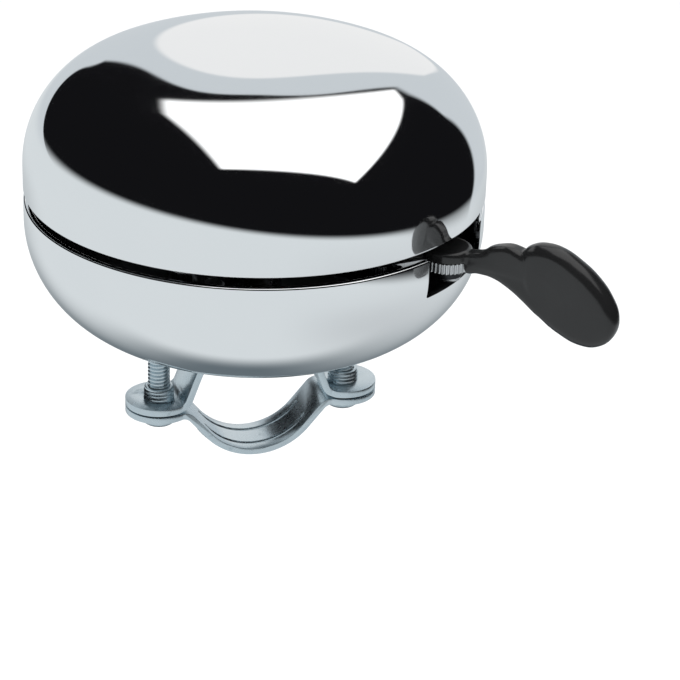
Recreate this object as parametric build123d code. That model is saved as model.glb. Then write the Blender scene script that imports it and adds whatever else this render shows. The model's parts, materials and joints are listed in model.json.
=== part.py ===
from build123d import *
import math
import os

# Two-shell rotary bicycle bell on a two-piece handlebar clamp, in millimetres.
# The origin is the centre of the handlebar bore. +Y runs along the handlebar,
# +X runs from clamp screw to clamp screw, and +Z is the axis of the bell.

# Handlebar clamp
bar_radius = 11.1
strap_width = 10.0
strap_wall = 1.2
upper_leg_slope = 70.0
lower_leg_slope = 50.0
ear_level = -2.3
ear_gap = 0.3
ear_radius = 6.0
bend_radius = 1.6
screw_spacing = 34.06
screw_radius = 2.0
screw_length = 12.0
screw_head_radius = 3.3
screw_head_height = 2.4
recess_depth = 1.3
recess_width = 1.0
recess_length = 4.2
collar_radius = 2.75
collar_height = 2.2
thread_clearance = 0.05
screw_hole_clearance = 0.2
turning_gap = 0.05
rib_radius = 0.5
rib_offset = 2.6

# Gongs
gong_radius = 40.0
gong_wall = 1.2
gong_gap = 1.8
top_height = 27.6
top_straight = 4.3
top_crown_rise = 4.3
bottom_straight = 3.5
bottom_shoulder = 20.0
rim_round = 0.35
notch_width = 19.6
notch_depth = 6.9
notch_corner = 0.4

# Centre stack
post_radius = 3.0
post_foot_radius = 4.0
post_foot_depth = 1.1
post_clearance = 0.05
saddle_wall = 0.6
saddle_length = 15.0
washer_wall = 0.6
washer_radius = 6.0
sleeve_radius = 5.0
nut_across_flats = 10.0
nut_height = 5.0
stop_nut_height = 3.2
lock_washer_radius = 5.0
lock_washer_wall = 1.2
boss_radius = 6.5
nut_room = 2.7
post_end_gap = 3.9

# Gear train: thumb lever sector, idler pinion and wheel, rotor pinion
lever_direction = -44.0
lever_inset = 2.6
sector_teeth = 30
pinion_teeth = 10
wheel_teeth = 20
rotor_teeth = 12
pressure_angle = 25.0
addendum_share = 0.8
dedendum_share = 1.0
backlash = 0.06
lever_travel = 40.0
plate_wall = 1.4
plate_margin = 0.6
gear_wall_low = 1.7
gear_wall_high = 1.5
side_play = 0.2
level_gap = 0.4
collar_step = 0.4
pin_radius = 1.5
pin_head_radius = 2.4
pin_head_height = 0.6
running_clearance = 0.05
clip_wall = 0.3
clip_radius = 3.0
pinion_collar = 3.0
stop_pin_radius = 0.8
stop_pin_reach = 10.0

# Thumb lever
rest_turn = 2.0
hub_radius = 4.2
hub_cap_height = 2.0
eye_radius = 4.2
plate_eye = 2.6
neck_clearance = 0.5
neck_wall = 3.0
paddle_wall = 4.4
paddle_round = 1.7
paddle_half_length = 10.6
paddle_half_width = 7.0
paddle_reach = 22.2
paddle_drop = 6.2
paddle_tilt = 44.0
neck_depth = 5.9
neck_foot = (8.6, 6.0)
neck_throat = (14.5, 8.8)
neck_dip = (6.6, 1.7)
thumb_bump = (9.8, 0.0)
neck_cleft = (13.2, 0.0)
tang_width = 1.6
tang_reach = 13.0
serration_depth = 0.25
serration_count = 36

# Rotor
bush_radius = 3.6
rotor_collar = 4.4
rotor_rise = 1.1
bar_wall = 1.2
bar_half_width = 3.2
bar_hub_radius = 7.0
hammer_radius = 3.0
hammer_height = 5.8
hammer_round = 0.6
hammer_inset = 7.5
rivet_radius = 1.2
rivet_head_radius = 1.9
rivet_head_height = 0.4
lower_hammer_angle = 236.0
rotor_travel = lever_travel * sector_teeth / pinion_teeth * wheel_teeth / rotor_teeth

# Striking lugs inside the gongs
lug_radius = 2.0
lug_reach = 1.7
lug_gap = 0.8

# Return spring
wire_radius = 0.3
spring_clearance = 0.3
spring_turns = 2
spring_pitch = 0.65
anchor_reach = 8.0
anchor_width = 1.0
anchor_length = 2.4
anchor_offset = 150.0

# Places worked out from the sizes above
screw_x = screw_spacing / 2
strap_top = bar_radius + strap_wall
gong_base = strap_top + saddle_wall
bottom_rim = gong_base + bottom_shoulder + bottom_straight
top_rim = bottom_rim + gong_gap
rim_plane = (bottom_rim + top_rim) / 2
apex = top_rim + top_height
lower_ear_level = ear_level - ear_gap
notch_floor = bottom_rim - notch_depth
plate_low = notch_floor + plate_margin
plate_top = plate_low + plate_wall
low_gear = plate_top + side_play
low_gear_top = low_gear + gear_wall_low
high_gear = low_gear_top + level_gap
high_gear_top = high_gear + gear_wall_high
bar_low = high_gear_top + rotor_rise
bar_top = bar_low + bar_wall
rotor_top = bar_top + side_play
bush_top = rotor_top + side_play
nut_low = bush_top + lock_washer_wall
boss_low = nut_low + nut_height + nut_room + stop_nut_height + washer_wall
post_top = apex - gong_wall - post_end_gap
top_shoulder = top_height - top_straight - top_crown_rise
lever_radius = gong_radius - lever_inset
hammer_orbit = gong_radius - hammer_inset
all_teeth = sector_teeth + pinion_teeth + wheel_teeth + rotor_teeth
module = 2 * lever_radius / all_teeth
idler_radius = module * (wheel_teeth + rotor_teeth) / 2
rotor_bore = bush_radius + running_clearance
pin_bore = pin_radius + running_clearance


def polar(radius, degrees):
    """A point of the horizontal plane, from its radius and its angle."""
    angle = math.radians(degrees)
    return radius * math.cos(angle), radius * math.sin(angle)


lever_x, lever_y = polar(lever_radius, lever_direction)
idler_x, idler_y = polar(idler_radius, lever_direction)
anchor_turn = lever_direction + anchor_offset


def disc(radius, low, high, x=0.0, y=0.0):
    """A round plate, pin or hole about a vertical line."""
    return Pos(x, y, (low + high) / 2) * Cylinder(radius, high - low)


def ring(radius, bore, low, high, x=0.0, y=0.0):
    """A washer, sleeve or bushed plate about a vertical line."""
    return disc(radius, low, high, x, y) - disc(bore, low, high, x, y)


def bar_cylinder(radius):
    """A cylinder along the handlebar, longer than the clamp is wide."""
    return Rot(90, 0, 0) * Cylinder(radius, 4 * strap_width)


def rod(start, end, radius):
    """A straight round rod between two points."""
    run = Vector(*end) - Vector(*start)
    return Solid.make_cylinder(radius, run.length, Plane(Vector(*start), z_dir=run))


def hex_nut(flats, bore, low, high):
    """A hexagon nut with its outer corners turned off at 30 degrees."""
    prism = extrude(RegularPolygon(flats / 2, 6, major_radius=False), high - low)
    corner = flats / math.sqrt(3)
    turned = chamfer(Cylinder(corner, high - low).edges(), (corner - flats / 2) / 2)
    body = Pos(0, 0, low) * prism & Pos(0, 0, (low + high) / 2) * turned
    return body - disc(bore, low, high)


# Gongs ---------------------------------------------------------------------

def top_form(shrink):
    """The dome as a solid: straight wall, shoulder arc and crown arc, all tangent."""
    radius = gong_radius - shrink
    shoulder = top_shoulder - shrink
    height = top_height - shrink
    reach = radius - shoulder
    drop = top_straight - height
    crown = (shoulder ** 2 - reach ** 2 - drop ** 2) / (2 * (shoulder + drop))
    crown_centre = height - crown
    tangent = math.atan2(top_straight - crown_centre, reach)
    half_shoulder = tangent / 2
    half_crown = (tangent + math.pi / 2) / 2
    join = (crown * math.cos(tangent), crown_centre + crown * math.sin(tangent))
    on_shoulder = (
        reach + shoulder * math.cos(half_shoulder),
        top_straight + shoulder * math.sin(half_shoulder),
    )
    on_crown = (crown * math.cos(half_crown), crown_centre + crown * math.sin(half_crown))
    outline = [
        Line((0, 0), (radius, 0)),
        Line((radius, 0), (radius, top_straight)),
        ThreePointArc((radius, top_straight), on_shoulder, join),
        ThreePointArc(join, on_crown, (0, height)),
        Line((0, height), (0, 0)),
    ]
    return Pos(0, 0, top_rim) * revolve(Plane.XZ * make_face(outline), Axis.Z)


def bottom_form(shrink):
    """The lower shell as a solid: straight wall, shoulder arc and flat base."""
    radius = gong_radius - shrink
    shoulder = bottom_shoulder - shrink
    reach = radius - shoulder
    half = math.sqrt(0.5) * shoulder
    outline = [
        Line((0, 0), (radius, 0)),
        Line((radius, 0), (radius, -bottom_straight)),
        ThreePointArc(
            (radius, -bottom_straight),
            (reach + half, -bottom_straight - half),
            (reach, -bottom_straight - shoulder),
        ),
        Line((reach, -bottom_straight - shoulder), (0, -bottom_straight - shoulder)),
        Line((0, -bottom_straight - shoulder), (0, 0)),
    ]
    return Pos(0, 0, bottom_rim) * revolve(Plane.XZ * make_face(outline), Axis.Z)


def top_gong():
    """Spun steel dome with a lightly rounded rim."""
    shell = top_form(0) - top_form(gong_wall)
    rim = shell.edges().filter_by(GeomType.CIRCLE).group_by(Axis.Z)[0]
    return fillet(rim, rim_round)


def bottom_gong():
    """Spun steel shell with a post hole and the lever notch in its rim."""
    shell = bottom_form(0) - bottom_form(gong_wall)
    rim = shell.edges().filter_by(GeomType.CIRCLE).group_by(Axis.Z)[-1]
    shell = fillet(rim, rim_round)
    shell -= disc(post_radius + post_clearance, gong_base, gong_base + gong_wall)
    cutter = Box(2 * notch_width, notch_width, 2 * notch_depth)
    cutter = fillet(cutter.edges().filter_by(Axis.X), notch_corner)
    return shell - Rot(0, 0, lever_direction) * Pos(gong_radius, 0, bottom_rim) * cutter


def dome_boss():
    """Threaded boss brazed under the crown, which screws on the centre post."""
    boss = disc(boss_radius, boss_low, apex) & top_form(gong_wall)
    return boss - disc(post_radius + thread_clearance, boss_low, post_top + 1)


def lug(degrees, level, hollow):
    """Steel peg brazed inside a gong, which the hammer strikes."""
    inner = polar(hammer_orbit + lug_reach, degrees)
    outer = polar(gong_radius, degrees)
    return rod((*inner, level), (*outer, level), lug_radius) & hollow


def lug_lead():
    """The angle from a hammer at its limit to the lug that it stops short of."""
    half_hammer = math.sqrt(hammer_radius ** 2 - lug_reach ** 2)
    lead = half_hammer + lug_radius + lug_gap
    return math.degrees(math.asin(lead / (hammer_orbit + lug_reach)))


def bottom_gong_lug():
    level = bar_low - hammer_height / 2
    return lug(lower_hammer_angle + lug_lead(), level, bottom_form(gong_wall))


def top_gong_lug():
    level = bar_top + hammer_height / 2
    upper_end = lower_hammer_angle + 180 - rotor_travel
    return lug(upper_end - lug_lead(), level, top_form(gong_wall))


# Clamp ---------------------------------------------------------------------

def strap(slope, mating_level):
    """Bent strip over the bar: an arc, two tangent legs and two round ears."""
    leg = math.radians(slope)
    outer = bar_radius + strap_wall
    ear_top = mating_level + strap_wall
    inner_bend = (bar_radius - mating_level * math.cos(leg)) / math.sin(leg)
    outer_bend = (outer - ear_top * math.cos(leg)) / math.sin(leg)
    ear_end = screw_x + ear_radius
    inner_foot = (bar_radius * math.sin(leg), bar_radius * math.cos(leg))
    outer_foot = (outer * math.sin(leg), outer * math.cos(leg))
    outline = [
        ThreePointArc((-inner_foot[0], inner_foot[1]), (0, bar_radius), inner_foot),
        Line(inner_foot, (inner_bend, mating_level)),
        Line((inner_bend, mating_level), (ear_end, mating_level)),
        Line((ear_end, mating_level), (ear_end, ear_top)),
        Line((ear_end, ear_top), (outer_bend, ear_top)),
        Line((outer_bend, ear_top), outer_foot),
        ThreePointArc(outer_foot, (0, outer), (-outer_foot[0], outer_foot[1])),
        Line((-outer_foot[0], outer_foot[1]), (-outer_bend, ear_top)),
        Line((-outer_bend, ear_top), (-ear_end, ear_top)),
        Line((-ear_end, ear_top), (-ear_end, mating_level)),
        Line((-ear_end, mating_level), (-inner_bend, mating_level)),
        Line((-inner_bend, mating_level), (-inner_foot[0], inner_foot[1])),
    ]
    strip = extrude(Plane.XZ * make_face(outline), ear_radius, both=True)
    bends = strip.edges().filter_by(Axis.Y)
    inner_edges = [e for e in bends if on_bend(e, inner_bend, mating_level)]
    strip = fillet(inner_edges, bend_radius + strap_wall)
    bends = strip.edges().filter_by(Axis.Y)
    outer_edges = [e for e in bends if on_bend(e, outer_bend, ear_top)]
    strip = fillet(outer_edges, bend_radius)
    plan = Rectangle(screw_spacing, strap_width)
    plan += Pos(screw_x, 0) * Circle(ear_radius)
    plan += Pos(-screw_x, 0) * Circle(ear_radius)
    plan = fillet(plan.vertices(), ear_radius / 2)
    return strip & extrude(plan, 2 * outer, both=True)


def on_bend(edge, x, z):
    """Whether an edge along the bar lies at a bend of the strap."""
    middle = edge.center()
    return abs(abs(middle.X) - x) < 0.01 and abs(middle.Z - z) < 0.01


def upper_strap():
    """Upper half of the clamp, with tapped collars and the swaged post foot's seat."""
    body = strap(upper_leg_slope, ear_level)
    for x in (-screw_x, screw_x):
        body += disc(collar_radius, ear_level, ear_level + strap_wall + collar_height, x)
    for x in (-screw_x, screw_x):
        bore = screw_radius + thread_clearance
        body -= disc(bore, ear_level, ear_level + strap_wall + collar_height, x)
    return body - post_form()


def lower_strap():
    """Lower half of the clamp, with plain screw holes and two pressed ribs."""
    body = mirror(strap(lower_leg_slope, -lower_ear_level), Plane.XY)
    leg = math.radians(lower_leg_slope)
    reach = bar_radius + strap_wall
    foot_x, foot_z = reach * math.sin(leg), -reach * math.cos(leg)
    run = bend_radius + strap_wall
    end_x, end_z = foot_x + run * math.cos(leg), foot_z + run * math.sin(leg)
    for y in (-rib_offset, rib_offset):
        below = Pos(0, y, -reach) * Box(2 * foot_x, 4 * rib_radius, 2 * (reach + foot_z))
        body += (Pos(0, y, 0) * Rot(90, 0, 0) * Torus(reach, rib_radius)) & below
        for side in (-1, 1):
            foot = (side * foot_x, y, foot_z)
            end = (side * end_x, y, end_z)
            body += rod(foot, end, rib_radius)
            body += Pos(*end) * Sphere(rib_radius)
    body -= bar_cylinder(bar_radius)
    for x in (-screw_x, screw_x):
        hole = screw_radius + screw_hole_clearance
        body -= disc(hole, lower_ear_level - 2 * strap_wall, lower_ear_level, x)
    return body


def clamp_screw(x):
    """Pan-head machine screw with a cross recess, tip up through the collar."""
    seat = lower_ear_level - strap_wall - turning_gap
    head_low = seat - screw_head_height
    shank = disc(screw_radius, seat, seat + screw_length)
    shank = chamfer(shank.edges().group_by(Axis.Z)[-1], screw_radius / 5)
    head = disc(screw_head_radius, head_low, seat)
    head = fillet(head.edges().group_by(Axis.Z)[0], screw_head_height * 0.6)
    recess_level = head_low + recess_depth / 2
    recess = Box(recess_length, recess_width, recess_depth)
    recess += Box(recess_width, recess_length, recess_depth)
    return Pos(x, 0, 0) * (shank + head - Pos(0, 0, recess_level) * recess)


# Centre stack --------------------------------------------------------------

def post_form():
    """The post before its foot is dressed flush with the bar's bore."""
    foot_top = strap_top - post_foot_depth / 2
    cone_low = foot_top - post_foot_depth / 2
    foot = disc(post_foot_radius, bar_radius - 2 * post_foot_depth, cone_low)
    cone_height = foot_top - cone_low
    middle = (cone_low + foot_top) / 2
    cone = Pos(0, 0, middle) * Cone(post_foot_radius, post_radius, cone_height)
    shank = disc(post_radius, bar_radius - 2 * post_foot_depth, post_top)
    shank = chamfer(shank.edges().group_by(Axis.Z)[-1], post_radius / 6)
    return foot + cone + shank


def centre_post():
    """Threaded steel post, its foot swaged into the upper strap."""
    return post_form() - bar_cylinder(bar_radius + thread_clearance)


def saddle_spacer():
    """Moulded saddle, curved to the strap below and flat under the gong."""
    block = Box(saddle_length, strap_width, 2 * strap_top)
    block = fillet(block.edges().filter_by(Axis.Z), strap_width / 5)
    block = Pos(0, 0, gong_base - strap_top) * block
    block -= Pos(0, 0, -strap_top) * Box(2 * strap_top, 2 * strap_width, 3 * strap_top)
    block -= bar_cylinder(strap_top)
    return block - disc(post_radius + post_clearance, 0, gong_base)


def washer(low):
    """Fibre washer on the post."""
    return ring(washer_radius, post_radius + post_clearance, low, low + washer_wall)


def spacer_sleeve():
    """Tube that holds the baseplate above the gong's base."""
    low = gong_base + gong_wall + washer_wall
    return ring(sleeve_radius, post_radius + post_clearance, low, plate_low)


def rotor_bush():
    """Brass bush clamped on the baseplate, on which the rotor turns."""
    return ring(bush_radius, post_radius + post_clearance, plate_top, bush_top)


def lock_washer():
    """Split spring washer under the post nut."""
    bore = post_radius + post_clearance
    body = ring(lock_washer_radius, bore, bush_top, nut_low)
    slit = Box(2 * lock_washer_radius, lock_washer_wall / 2, 3 * lock_washer_wall)
    middle = (bush_top + nut_low) / 2
    return body - Pos(lock_washer_radius, 0, middle) * Rot(25, 0, 0) * slit


def post_nut():
    """Nut that clamps the lower gong, sleeve, baseplate and bush."""
    bore = post_radius + thread_clearance
    return hex_nut(nut_across_flats, bore, nut_low, nut_low + nut_height)


def dome_stop_nut():
    """Thin nut that sets how far the dome screws down."""
    high = boss_low - washer_wall
    bore = post_radius + thread_clearance
    return hex_nut(nut_across_flats, bore, high - stop_nut_height, high)


# Gear train ----------------------------------------------------------------

def involute(angle):
    return math.tan(angle) - angle


def half_tooth(radius, teeth):
    """Half the angle that a tooth takes at a radius, in degrees."""
    pitch_radius = module * teeth / 2
    lean = math.radians(pressure_angle)
    base = pitch_radius * math.cos(lean)
    here = math.acos(min(1.0, base / radius))
    half = math.pi / (2 * teeth) - backlash / (2 * pitch_radius)
    return math.degrees(half + involute(lean) - involute(here))


def gear(teeth, low, high):
    """Involute spur gear about the origin, with one tooth on +X."""
    pitch_radius = module * teeth / 2
    tip = pitch_radius + addendum_share * module
    root = pitch_radius - dedendum_share * module
    base = pitch_radius * math.cos(math.radians(pressure_angle))
    start = max(base, root)
    radii = [start + (tip - start) * step / 4 for step in range(5)]
    pitch = 360 / teeth
    outline = []
    for tooth in range(teeth):
        middle = pitch * tooth
        rising = [polar(r, middle - half_tooth(r, teeth)) for r in radii]
        falling = [polar(r, middle + half_tooth(r, teeth)) for r in reversed(radii)]
        foot = half_tooth(start, teeth)
        if root < start:
            outline.append(Line(polar(root, middle - foot), rising[0]))
            outline.append(Line(falling[-1], polar(root, middle + foot)))
        outline.append(Spline(*rising))
        outline.append(ThreePointArc(rising[-1], polar(tip, middle), falling[0]))
        outline.append(Spline(*falling))
        outline.append(ThreePointArc(
            polar(root, middle + foot),
            polar(root, middle + pitch / 2),
            polar(root, middle + pitch - foot),
        ))
    return Pos(0, 0, low) * extrude(make_face(outline), high - low)


def wedge(start, end, radius, low, high):
    """A pie slice about the origin, under half a turn, from angle to angle."""
    corners = [(0, 0), polar(radius, start), polar(radius, (start + end) / 2), polar(radius, end)]
    return Pos(0, 0, low) * extrude(make_face(Polyline(*corners, close=True)), high - low)


def at_lever(shape, turn):
    """Place a shape made about the origin on the lever's pivot."""
    return Pos(lever_x, lever_y, 0) * Rot(0, 0, turn) * shape


def sector_span():
    """Start and end angle of the sector's web, from the line to the idler."""
    pitch = 360 / sector_teeth
    return -1.5 * pitch, lever_travel + 1.2 * pitch


def stop_angles():
    """Angles of the two stop pins, just clear of the sector at its limits."""
    start, end = sector_span()
    gap = math.degrees(math.asin((stop_pin_radius + side_play) / stop_pin_reach))
    return start - lever_travel - gap, end + gap


def baseplate():
    """Steel plate that carries the pivots, with the spring's anchor tab."""
    stop_across = stop_pin_reach * math.sin(math.radians(max(map(abs, stop_angles()))))
    half_arm = stop_across + 2 * stop_pin_radius
    hub = sleeve_radius + half_arm / 2
    arm_end = lever_radius - eye_radius
    along = Rot(0, 0, lever_direction)
    arm = Pos(arm_end / 2, 0) * Rectangle(arm_end, 2 * half_arm)
    arm = fillet(arm.vertices(), half_arm / 3)
    eye = Pos(lever_radius, 0) * Circle(plate_eye)
    neck = Pos(lever_radius - eye_radius, 0) * Rectangle(2 * eye_radius, 2 * plate_eye)
    plan = along * (Circle(hub) + arm + neck + eye)
    plate = Pos(0, 0, plate_low) * extrude(plan, plate_wall)
    tab = Box(anchor_width, anchor_length, low_gear_top - plate_low)
    tab = Pos(anchor_reach, 0, (plate_low + low_gear_top) / 2) * tab
    plate += Rot(0, 0, anchor_turn) * tab
    plate -= rod(*spring_leg(), wire_radius + running_clearance)
    plate -= disc(post_radius + post_clearance, plate_low, plate_top)
    plate -= disc(pin_radius, plate_low, plate_top, idler_x, idler_y)
    plate -= disc(pin_radius, plate_low, plate_top, lever_x, lever_y)
    return plate - stop_pins()


def stop_pins():
    """Two pins pressed into the baseplate, one for each end of the travel."""
    pins = []
    for turn in stop_angles():
        x, y = polar(stop_pin_reach, turn)
        pin = disc(stop_pin_radius, plate_low, low_gear_top, x, y)
        pins.append(at_lever(pin, lever_direction + 180))
    return pins[0] + pins[1]


def lever_pivot():
    """Shouldered rivet through the baseplate's eye, headed over the sector."""
    top = low_gear_top + running_clearance
    pin = disc(pin_radius, plate_low, top, lever_x, lever_y)
    pin += disc(pin_head_radius, top, top + pin_head_height, lever_x, lever_y)
    head_low = plate_low - pin_head_height
    return pin + disc(pin_head_radius, head_low, plate_low, lever_x, lever_y)


def idler_axle():
    """Pin riveted in the baseplate, on which the idler turns."""
    top = high_gear_top + running_clearance + clip_wall
    pin = disc(pin_radius, plate_low, top, idler_x, idler_y)
    head_low = plate_low - pin_head_height
    return pin + disc(pin_head_radius, head_low, plate_low, idler_x, idler_y)


def idler_clip():
    """Push-on clip that keeps the idler on its axle."""
    low = high_gear_top + running_clearance
    return ring(clip_radius, pin_radius, low, low + clip_wall, idler_x, idler_y)


def lever_sector():
    """Steel sector under the lever's cap, with a tang in the lever's neck."""
    start, end = sector_span()
    tip = module * (sector_teeth / 2 + addendum_share)
    body = gear(sector_teeth, low_gear, low_gear_top)
    body &= wedge(start, end, 2 * tip, low_gear, low_gear_top)
    middle = polar(tip * 0.6, (start + end) / 2)
    body -= disc(tip * 0.14, low_gear, low_gear_top, *middle)
    hub = disc(hub_radius, low_gear, low_gear_top)
    for step in range(serration_count):
        x, y = polar(hub_radius, 360 * step / serration_count)
        hub -= disc(serration_depth, low_gear, low_gear_top, x, y)
    body += hub
    body -= disc(pin_bore, low_gear, low_gear_top)
    return at_lever(body, lever_direction + 180) + tang()


def tang():
    """The part of the sector that the lever's neck is moulded round."""
    length = tang_reach - hub_radius / 2
    middle = (tang_reach + hub_radius / 2) / 2
    strip = Box(length, tang_width, gear_wall_low)
    strip = Pos(middle, 0, (low_gear + low_gear_top) / 2) * strip
    return at_lever(strip, lever_direction + rest_turn)


def thumb_lever():
    """Moulded lever: hub cap over the sector, neck, thumb bump and oval paddle."""
    cap_top = low_gear_top + hub_cap_height
    neck_start = eye_radius + neck_clearance
    side = [
        (0, low_gear_top),
        (neck_start, low_gear_top),
        (neck_start, rim_plane - neck_depth),
        (neck_foot[0], rim_plane - neck_foot[1]),
        (neck_throat[0], rim_plane - neck_throat[1]),
        (paddle_reach, rim_plane - paddle_drop),
        (paddle_reach - paddle_half_width, rim_plane + neck_cleft[1]),
        (neck_cleft[0], rim_plane + neck_cleft[1]),
        (thumb_bump[0], rim_plane + thumb_bump[1]),
        (neck_dip[0], rim_plane - neck_dip[1]),
        (hub_radius, cap_top),
        (0, cap_top),
    ]
    neck = extrude(Plane.XZ * make_face(Polyline(*side, close=True)), neck_wall / 2, both=True)
    oval = extrude(Ellipse(paddle_half_length, paddle_half_width), paddle_wall / 2, both=True)
    oval = fillet(oval.edges(), paddle_round)
    oval = Rot(0, paddle_tilt, 0) * Rot(90, 0, 0) * oval
    oval = Pos(paddle_reach, 0, rim_plane - paddle_drop) * oval
    cap = disc(hub_radius, low_gear_top, cap_top)
    cap = fillet(cap.edges().group_by(Axis.Z)[-1], hub_cap_height / 5)
    head_room = low_gear_top + pin_head_height + 2 * side_play
    pocket = disc(pin_head_radius + side_play, low_gear_top, head_room)
    return at_lever(neck + oval + cap - pocket, lever_direction + rest_turn) - tang()


def idler_pinion():
    """Small gear with the collar that the wheel is pressed on."""
    turn = lever_direction + 180 / pinion_teeth
    body = gear(pinion_teeth, low_gear, low_gear_top)
    body += disc(pinion_collar, low_gear_top, high_gear_top)
    body -= disc(pin_bore, low_gear, high_gear_top)
    collar_shoulder = min(pinion_collar + collar_step, idler_root())
    body += ring(collar_shoulder, pin_bore, low_gear_top, high_gear)
    return Pos(idler_x, idler_y, 0) * Rot(0, 0, turn) * body


def idler_root():
    return module * (pinion_teeth / 2 - dedendum_share)


def idler_wheel():
    """Large gear pressed on the pinion's collar, with four lightening holes."""
    root = module * (wheel_teeth / 2 - dedendum_share)
    body = gear(wheel_teeth, high_gear, high_gear_top)
    body -= disc(pinion_collar, high_gear, high_gear_top)
    web = (root + pinion_collar) / 2
    for quarter in range(4):
        x, y = polar(web, 45 + 90 * quarter)
        body -= disc((root - pinion_collar) / 4, high_gear, high_gear_top, x, y)
    return Pos(idler_x, idler_y, 0) * Rot(0, 0, lever_direction + 180) * body


# Rotor ---------------------------------------------------------------------

def rotor_pinion():
    """Pinion on the bush, with a collar for the spring and a spigot for the bar."""
    turn = lever_direction + 180 / rotor_teeth
    body = Rot(0, 0, turn) * gear(rotor_teeth, high_gear, high_gear_top)
    body += disc(rotor_collar, low_gear, rotor_top)
    body += disc(rotor_collar + collar_step, high_gear_top, bar_low)
    body -= disc(rotor_bore, low_gear, rotor_top)
    return body - rod(*spring_hook(), wire_radius + running_clearance)


def striker_bar():
    """Spring steel bar that carries one hammer at each end."""
    plan = Rectangle(2 * hammer_orbit, 2 * bar_half_width) + Circle(bar_hub_radius)
    plan += Pos(hammer_orbit, 0) * Circle(bar_half_width)
    plan += Pos(-hammer_orbit, 0) * Circle(bar_half_width)
    plan -= Circle(rotor_collar)
    plan -= Pos(hammer_orbit, 0) * Circle(rivet_radius)
    plan -= Pos(-hammer_orbit, 0) * Circle(rivet_radius)
    return Pos(0, 0, bar_low) * Rot(0, 0, lower_hammer_angle) * extrude(plan, bar_wall)


def hammer(weight_low, rivet_end, degrees):
    """Turned weight with a rivet shank headed over on the far side of the bar."""
    x, y = polar(hammer_orbit, degrees)
    weight = disc(hammer_radius, weight_low, weight_low + hammer_height, x, y)
    weight = fillet(weight.edges().filter_by(GeomType.CIRCLE), hammer_round)
    shank = disc(rivet_radius, bar_low, bar_top, x, y)
    head = disc(rivet_head_radius, rivet_end, rivet_end + rivet_head_height, x, y)
    return weight + shank + head


def lower_hammer():
    return hammer(bar_low - hammer_height, bar_top, lower_hammer_angle)


def upper_hammer():
    return hammer(bar_top, bar_low - rivet_head_height, lower_hammer_angle + 180)


# Return spring -------------------------------------------------------------

coil_radius = rotor_collar + spring_clearance + wire_radius
coil_low = plate_top + wire_radius + side_play


def spring_coil():
    """The line of the wire round the collar, starting where the leg leaves it."""
    start = anchor_turn + math.degrees(math.acos(coil_radius / anchor_reach))
    coil = Helix(spring_pitch, spring_pitch * spring_turns, coil_radius)
    return Pos(0, 0, coil_low) * Rot(0, 0, start) * coil


def spring_leg():
    """The straight leg from the baseplate's tab to the coil's start."""
    coil = spring_coil()
    start = coil @ 0
    reach = math.sqrt(anchor_reach ** 2 - coil_radius ** 2) + anchor_width
    return start - (coil % 0) * reach, start


def spring_elbow():
    """The quarter bend that turns the coil's end towards the collar."""
    coil = spring_coil()
    start = coil @ 1
    along = coil % 1
    inward = Vector(-start.X, -start.Y, 0).normalized()
    bend = 2 * wire_radius
    middle = start + inward * bend * (1 - math.sqrt(0.5)) + along * bend * math.sqrt(0.5)
    return start, middle, start + inward * bend + along * bend


def spring_hook():
    """The straight end of the wire, held in the rotor's collar."""
    start, _, end = spring_elbow()
    inward = Vector(-start.X, -start.Y, 0).normalized()
    return end, end + inward * (coil_radius - 2 * wire_radius - rotor_bore)


def return_spring():
    """Two-turn torsion spring round the rotor's collar."""
    leg = Line(*spring_leg())
    elbow = ThreePointArc(*spring_elbow())
    hook = Line(*spring_hook())
    wire = Wire([*leg.edges(), *spring_coil().edges(), *elbow.edges(), *hook.edges()])
    section = Plane(wire @ 0, z_dir=wire % 0) * Circle(wire_radius)
    return sweep(section, path=wire)


pieces = {
    "top_gong": top_gong(),
    "bottom_gong": bottom_gong(),
    "dome_boss": dome_boss(),
    "top_gong_lug": top_gong_lug(),
    "bottom_gong_lug": bottom_gong_lug(),
    "upper_strap": upper_strap(),
    "lower_strap": lower_strap(),
    "clamp_screw_left": clamp_screw(-screw_x),
    "clamp_screw_right": clamp_screw(screw_x),
    "centre_post": centre_post(),
    "saddle_spacer": saddle_spacer(),
    "gong_washer": washer(gong_base + gong_wall),
    "spacer_sleeve": spacer_sleeve(),
    "baseplate": baseplate(),
    "rotor_bush": rotor_bush(),
    "lock_washer": lock_washer(),
    "post_nut": post_nut(),
    "dome_stop_nut": dome_stop_nut(),
    "dome_washer": washer(boss_low - washer_wall),
    "lever_pivot": lever_pivot(),
    "idler_axle": idler_axle(),
    "idler_clip": idler_clip(),
    "stop_pins": stop_pins(),
    "return_spring": return_spring(),
    "thumb_lever": thumb_lever(),
    "lever_sector": lever_sector(),
    "idler_pinion": idler_pinion(),
    "idler_wheel": idler_wheel(),
    "rotor_pinion": rotor_pinion(),
    "striker_bar": striker_bar(),
    "upper_hammer": upper_hammer(),
    "lower_hammer": lower_hammer(),
}

os.makedirs("parts", exist_ok=True)
for name, shape in pieces.items():
    export_step(shape, f"parts/{name}.step")

print("rim plane", rim_plane, "lever pivot", lever_x, lever_y)
print("idler", idler_x, idler_y, "rotor travel", rotor_travel)
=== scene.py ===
import json
import math

import bpy
from mathutils import Matrix, Vector


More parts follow.
